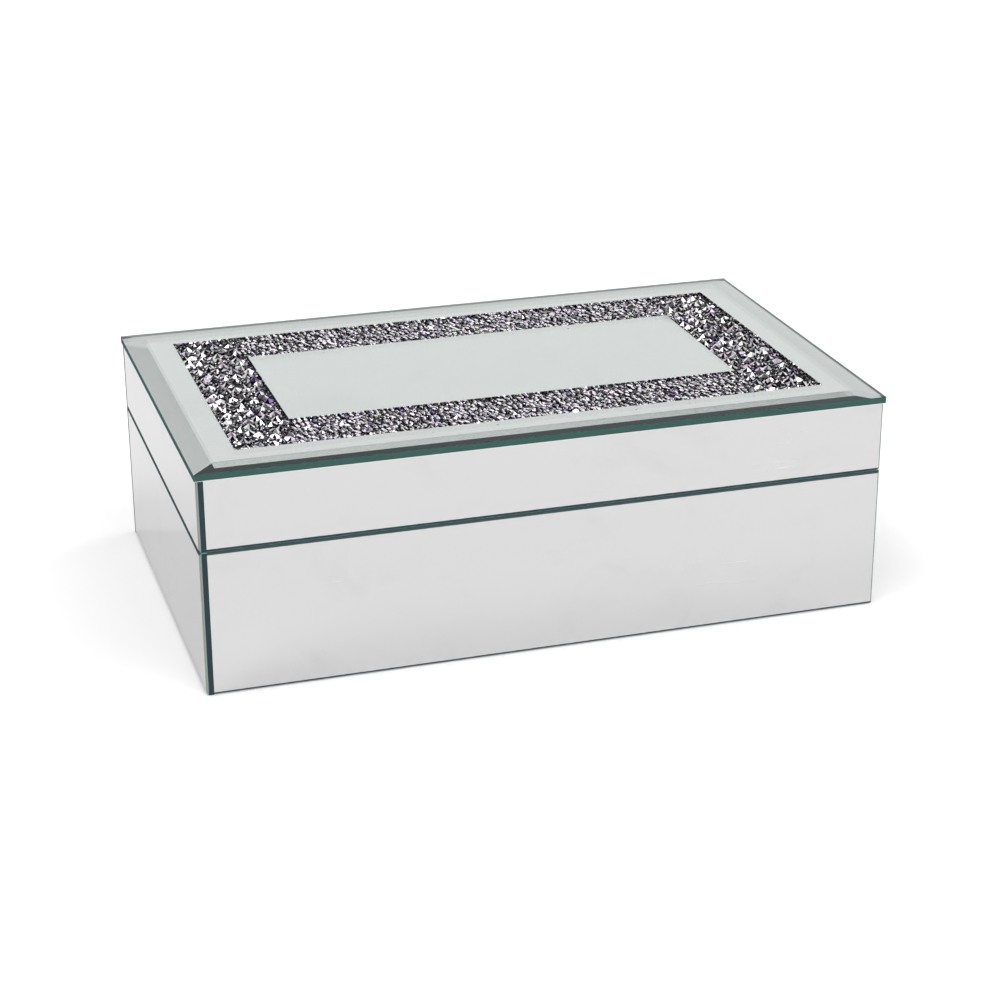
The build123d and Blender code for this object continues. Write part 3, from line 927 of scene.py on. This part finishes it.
def paint_cad():
    """Materials for the CAD nodes that keep their shape, except the silver coats."""
    side_mirror = panel_mirror("side_mirror", 0)
    mirrors = {
        "front": panel_mirror("front_mirror", 1),
        "right": side_mirror,
        # The back panels' rim keeps the plain dark edge green, without the painted light.
        "back": panel_mirror("back_mirror", 1, EDGE_GREEN),
        "left": side_mirror,
    }
    board = fibreboard()
    lining = velvet(
        "lining_velvet", (0.0135, 0.0130, 0.020), (0.036, 0.034, 0.047), 0.55, (0.55, 0.52, 0.66)
    )
    floor = velvet(
        "floor_velvet", (0.010, 0.013, 0.021), (0.026, 0.030, 0.044), 0.5, (0.48, 0.52, 0.66)
    )
    hinge = lacquer("hinge_lacquer")
    screw = lacquer("screw_lacquer")
    stud = nickel()
    for body in ("base", "lid"):
        for side in SIDES:
            paint(f"{body}_{side}_mirror", mirrors[side])
            paint(f"{body}_{side}_board", board)
            paint(f"{body}_{side}_lining", lining)
        paint(f"{body}_hinge_screws", screw)
        paint(f"{body}_stay_stud", stud)
        for place in ("left", "right"):
            paint(f"{place}_hinge_{body}_leaf", hinge)
    for place in ("left", "right"):
        paint(f"{place}_hinge_pin", screw)
    for name in ("base_bottom_board", "lid_top_board", "divider_core"):
        paint(name, board)
    paint("floor_lining", floor)
    paint("divider_cover", lining)
    paint("ring_bed_foam", foam())
    paint("bottom_felt", felt())


# ---------------------------------------------------------------- stage, light and camera

FLOOR_RADIUS = 9.0
FLOOR_SEGMENTS = 96


def stage_floor():
    """A wide pale floor."""
    bm = bmesh.new()
    bmesh.ops.create_circle(bm, cap_ends=True, segments=FLOOR_SEGMENTS, radius=FLOOR_RADIUS)
    mesh = bpy.data.meshes.new("floor")
    bm.to_mesh(mesh)
    bm.free()
    shader = Shader("pale_floor")
    tone = shader.noise(3, detail=3)
    shader.set(Base_Color=shader.mix(tone, (0.90, 0.90, 0.90), (0.915, 0.915, 0.915)), Roughness=0.9)
    mesh.materials.append(shader.material)
    floor = bpy.data.objects.new("floor", mesh)
    bpy.context.scene.collection.objects.link(floor)


SOFTBOXES = (
    # azimuth and elevation in degrees, half width in degrees, brightness
    (-50, 62, 17, 3.9),
    (32, 56, 15, 3.9),
    (100, 50, 14, 3.0),
    (-125, 52, 14, 3.0),
)
SOFTBOX_FADE = 0.15
BACKDROP = (
    # height, as the sine of the elevation, and grey level
    (0.0, 1.0),
    (0.22, 0.97),
    (0.34, 0.90),
    (0.44, 0.85),
    (0.55, 0.68),
    (0.70, 0.46),
    (0.86, 0.28),
    (1.0, 0.24),
)


def studio():
    """A pale room with soft boxes overhead, as seen by reflections and as light."""
    world = bpy.data.worlds.new("studio")
    world.use_nodes = True
    tree = world.node_tree
    tree.nodes.clear()
    output = tree.nodes.new("ShaderNodeOutputWorld")
    background = tree.nodes.new("ShaderNodeBackground")
    tree.links.new(background.outputs[0], output.inputs[0])
    place = tree.nodes.new("ShaderNodeTexCoord")
    split = tree.nodes.new("ShaderNodeSeparateXYZ")
    tree.links.new(place.outputs["Generated"], split.inputs[0])
    ramp = tree.nodes.new("ShaderNodeValToRGB")
    tree.links.new(split.outputs[2], ramp.inputs[0])
    steps = ramp.color_ramp
    while len(steps.elements) < len(BACKDROP):
        steps.elements.new(0.5)
    for element, (height, shade) in zip(steps.elements, BACKDROP):
        element.position = height
        element.color = (shade, shade, shade, 1)
    total = ramp.outputs[0]
    for azimuth, elevation, half_width, brightness in SOFTBOXES:
        a, e = math.radians(azimuth), math.radians(elevation)
        towards = (math.sin(a) * math.cos(e), -math.cos(a) * math.cos(e), math.sin(e))
        dot = tree.nodes.new("ShaderNodeVectorMath")
        dot.operation = "DOT_PRODUCT"
        tree.links.new(place.outputs["Generated"], dot.inputs[0])
        dot.inputs[1].default_value = towards
        mask = tree.nodes.new("ShaderNodeMapRange")
        mask.interpolation_type = "SMOOTHSTEP"
        tree.links.new(dot.outputs["Value"], mask.inputs[0])
        mask.inputs[1].default_value = math.cos(math.radians(half_width * (1 + SOFTBOX_FADE)))
        mask.inputs[2].default_value = math.cos(math.radians(half_width * (1 - SOFTBOX_FADE)))
        mask.inputs[4].default_value = brightness
        add = tree.nodes.new("ShaderNodeMix")
        add.data_type = "RGBA"
        add.blend_type = "ADD"
        add.clamp_factor = False
        add.inputs[0].default_value = 1.0
        tree.links.new(total, add.inputs[6])
        tree.links.new(mask.outputs[0], add.inputs[7])
        total = add.outputs[2]
    tree.links.new(total, background.inputs[0])
    bpy.context.scene.world = world


# Angles in degrees, places in metres and the lens in mm.
CAMERA_AZIMUTH = -17.263
CAMERA_ELEVATION = 22.235
CAMERA_ROLL = -0.182
CAMERA_PLACE = (-0.2748, -0.8990, 0.4151)
CAMERA_LENS = 85.34
CAMERA_CLIP = (0.05, 60)


def camera():
    """The main view: from the left of the front, looking down on the lid."""
    a, e, r = (math.radians(v) for v in (CAMERA_AZIMUTH, CAMERA_ELEVATION, CAMERA_ROLL))
    back = Vector((math.sin(a) * math.cos(e), -math.cos(a) * math.cos(e), math.sin(e)))
    right = (-back).cross(Vector((0, 0, 1))).normalized()
    up = right.cross(-back)
    x_axis = right * math.cos(r) + up * math.sin(r)
    y_axis = up * math.cos(r) - right * math.sin(r)
    data = bpy.data.cameras.new("camera")
    data.lens = CAMERA_LENS
    data.clip_start, data.clip_end = CAMERA_CLIP
    made = bpy.data.objects.new("camera", data)
    turn = Matrix((x_axis, y_axis, back)).transposed()
    made.matrix_world = Matrix.Translation(CAMERA_PLACE) @ turn.to_4x4()
    bpy.context.scene.collection.objects.link(made)
    bpy.context.scene.camera = made


# ---------------------------------------------------------------- build

bpy.context.scene.view_settings.view_transform = "Standard"
stage_floor()
studio()
camera()
paint_cad()

silver = silver_coat("silver_coat", (0.94, 0.808, 0.842), (0.915, 0.785, 0.82))
channel_silver = silver_coat("channel_silver", (0.93, 0.93, 0.93), (0.91, 0.91, 0.91))
paint("top_frame_silvering", silver)
paint("top_centre_silvering", silver)
glass_materials = [clear_glass(), glass_edge(), silver, channel_silver]
top_frame(glass_materials)
top_centre(glass_materials)

rng = np.random.default_rng(SEED)
crystal_materials = [
    # Points and shards take painted glint and painted shade by the way their facets face; grit's greys are
    # chance alone.
    crystal_facets("crystal_points", POINT_PAINTED_GLINT_TONES, lean=1.0, flanks_alike=True, spread=0.30, mirrored=1.0),
    crystal_facets("crystal_shards", SHARD_PAINTED_GLINT_TONES, lean=0.7, flanks_alike=False, spread=0.55, mirrored=0.25),
    crystal_facets("crystal_grit", GRIT_TONES, lean=0.0, flanks_alike=False, spread=1.0, mirrored=0.85),
    crystal_bed(),
]
taken = {}
for side in SIDES:
    crystal_strip(side, crystal_materials, rng, taken)

roll_velvet = velvet(
    "ring_velvet", (0.010, 0.010, 0.014), (0.030, 0.028, 0.036), 0.5, (0.5, 0.48, 0.55)
)
for number in range(1, ROLL_COUNT + 1):
    ring_roll(number, roll_velvet, rng)
pad_velvet = velvet(
    "pad_velvet", (0.013, 0.019, 0.033), (0.023, 0.031, 0.050), 0.42, (0.42, 0.50, 0.66)
)
lid_pad(pad_velvet)
stay(satin())
